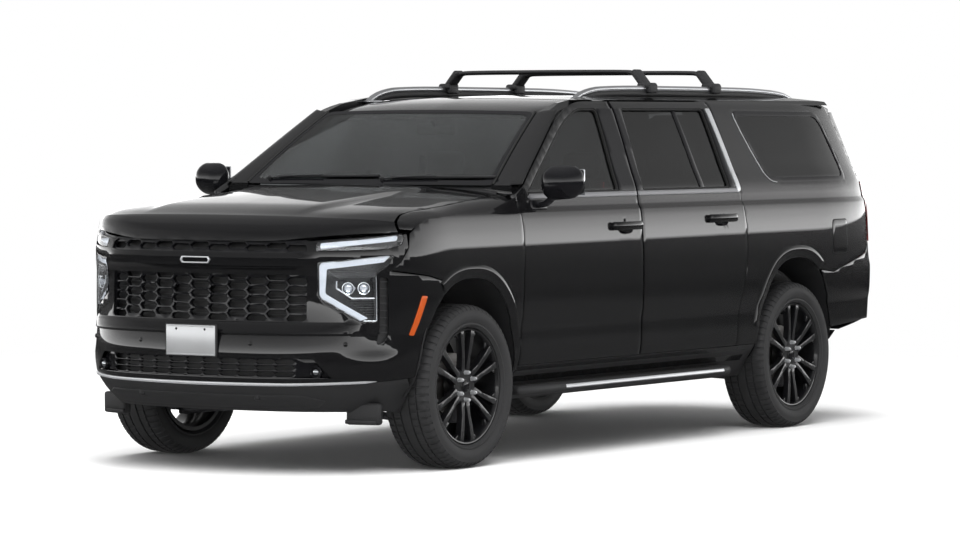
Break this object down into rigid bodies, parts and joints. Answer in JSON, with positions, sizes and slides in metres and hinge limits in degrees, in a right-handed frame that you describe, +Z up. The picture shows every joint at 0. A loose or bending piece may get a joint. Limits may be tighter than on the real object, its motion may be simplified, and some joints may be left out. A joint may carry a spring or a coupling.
{
  "type": "full-size family SUV",
  "caption": "Long full-size family SUV with opening doors, hood and liftgate, steered front wheels, roof rails and cross bars.",
  "frame": {"origin": "on the ground below the middle of the vehicle's length, on its centre line", "axes": "+Y to the rear, +X to the vehicle's left, +Z up"},
  "size_m": [2.411, 5.733, 2.05],
  "materials": {
    "body_paint": "gloss black",
    "dark_trim": "fine grain",
    "gloss_trim": "piano black",
    "glass_clear": "lightly tinted",
    "glass_dark": "deep tint",
    "lamp_clear": "clear lens",
    "lamp_red": "red lens",
    "frame_metal": "satin black",
    "cast_metal": "cast",
    "pipe_metal": "dull",
    "rail_silver": "satin",
    "seat_leather": "soft grain",
    "rim_black": "gloss black",
    "tyre_rubber": "ribbed"
  },
  "bodies": {
    "chassis": {"frame_rails": "frame_metal", "cross_members": "frame_metal", "tow_hitch": "frame_metal", "floor_pan": "dark_trim", "side_frames": "body_paint", "quarter_panels": "body_paint", "roof_panel": "body_paint", "front_fenders": "body_paint", "front_bumper": "body_paint", "grille": "gloss_trim", "headlamps": "lamp_clear", "rear_bumper": "body_paint", "tail_lamps": "lamp_red", "windshield": "glass_clear", "quarter_windows": "glass_dark", "running_boards": "dark_trim", "roof_rails": "rail_silver", "cross_bars": "dark_trim", "engine_block": "cast_metal", "front_suspension": "cast_metal", "rear_axle": "cast_metal", "exhaust": "pipe_metal", "dashboard": "dark_trim", "steering_wheel": "dark_trim", "front_seats": "seat_leather", "second_row_seats": "seat_leather", "third_row_seat": "seat_leather"},
    "hood": {"hood": "body_paint"},
    "liftgate": {"liftgate": "body_paint", "rear_window": "glass_dark"},
    "front_door_left": {"front_door_left": "body_paint", "front_window_left": "glass_clear", "mirror_left": "gloss_trim"},
    "rear_door_left": {"rear_door_left": "body_paint", "side_window_left": "glass_dark"},
    "knuckle_left": {"knuckle_left": "cast_metal"},
    "front_wheel_left": {"front_rim_left": "rim_black", "front_tyre_left": "tyre_rubber"},
    "rear_wheel_left": {"rear_rim_left": "rim_black", "rear_tyre_left": "tyre_rubber"},
    "front_door_right": {"front_door_right": "body_paint", "front_window_right": "glass_clear", "mirror_right": "gloss_trim"},
    "rear_door_right": {"rear_door_right": "body_paint", "side_window_right": "glass_dark"},
    "knuckle_right": {"knuckle_right": "cast_metal"},
    "front_wheel_right": {"front_rim_right": "rim_black", "front_tyre_right": "tyre_rubber"},
    "rear_wheel_right": {"rear_rim_right": "rim_black", "rear_tyre_right": "tyre_rubber"}
  },
  "joints": [
    {"name": "hood_hinge", "type": "hinge", "parent": "chassis", "child": "hood", "pos_m": [0, -1.3505, 1.43], "axis": [-1, 0, 0], "range_deg": [0, 50]},
    {"name": "liftgate_hinge", "type": "hinge", "parent": "chassis", "child": "liftgate", "pos_m": [0, 2.3665, 1.908], "axis": [1, 0, 0], "range_deg": [0, 85]},
    {"name": "front_door_left_hinge", "type": "hinge", "parent": "chassis", "child": "front_door_left", "pos_m": [1.0155, -1.3715, 1], "axis": [0, 0, -1], "range_deg": [0, 68]},
    {"name": "rear_door_left_hinge", "type": "hinge", "parent": "chassis", "child": "rear_door_left", "pos_m": [1.0155, -0.1515, 1], "axis": [0, 0, -1], "range_deg": [0, 70]},
    {"name": "steering_left", "type": "hinge", "parent": "chassis", "child": "knuckle_left", "pos_m": [0.828, -1.8465, 0.417], "axis": [0, 0, 1], "range_deg": [-32, 32]},
    {"name": "front_wheel_left_spin", "type": "hinge", "parent": "knuckle_left", "child": "front_wheel_left", "pos_m": [0.873, -1.8465, 0.417], "axis": [1, 0, 0], "continuous": true},
    {"name": "rear_wheel_left_spin", "type": "hinge", "parent": "chassis", "child": "rear_wheel_left", "pos_m": [0.873, 1.5605, 0.417], "axis": [1, 0, 0], "continuous": true},
    {"name": "front_door_right_hinge", "type": "hinge", "parent": "chassis", "child": "front_door_right", "pos_m": [-1.0155, -1.3715, 1], "axis": [0, 0, 1], "range_deg": [0, 68]},
    {"name": "rear_door_right_hinge", "type": "hinge", "parent": "chassis", "child": "rear_door_right", "pos_m": [-1.0155, -0.1515, 1], "axis": [0, 0, 1], "range_deg": [0, 70]},
    {"name": "steering_right", "type": "hinge", "parent": "chassis", "child": "knuckle_right", "pos_m": [-0.828, -1.8465, 0.417], "axis": [0, 0, 1], "range_deg": [-32, 32]},
    {"name": "front_wheel_right_spin", "type": "hinge", "parent": "knuckle_right", "child": "front_wheel_right", "pos_m": [-0.873, -1.8465, 0.417], "axis": [1, 0, 0], "continuous": true},
    {"name": "rear_wheel_right_spin", "type": "hinge", "parent": "chassis", "child": "rear_wheel_right", "pos_m": [-0.873, 1.5605, 0.417], "axis": [1, 0, 0], "continuous": true}
  ],
  "couplings": [
    {"joint": "steering_right", "follows": "steering_left", "ratio": 1}
  ]
}
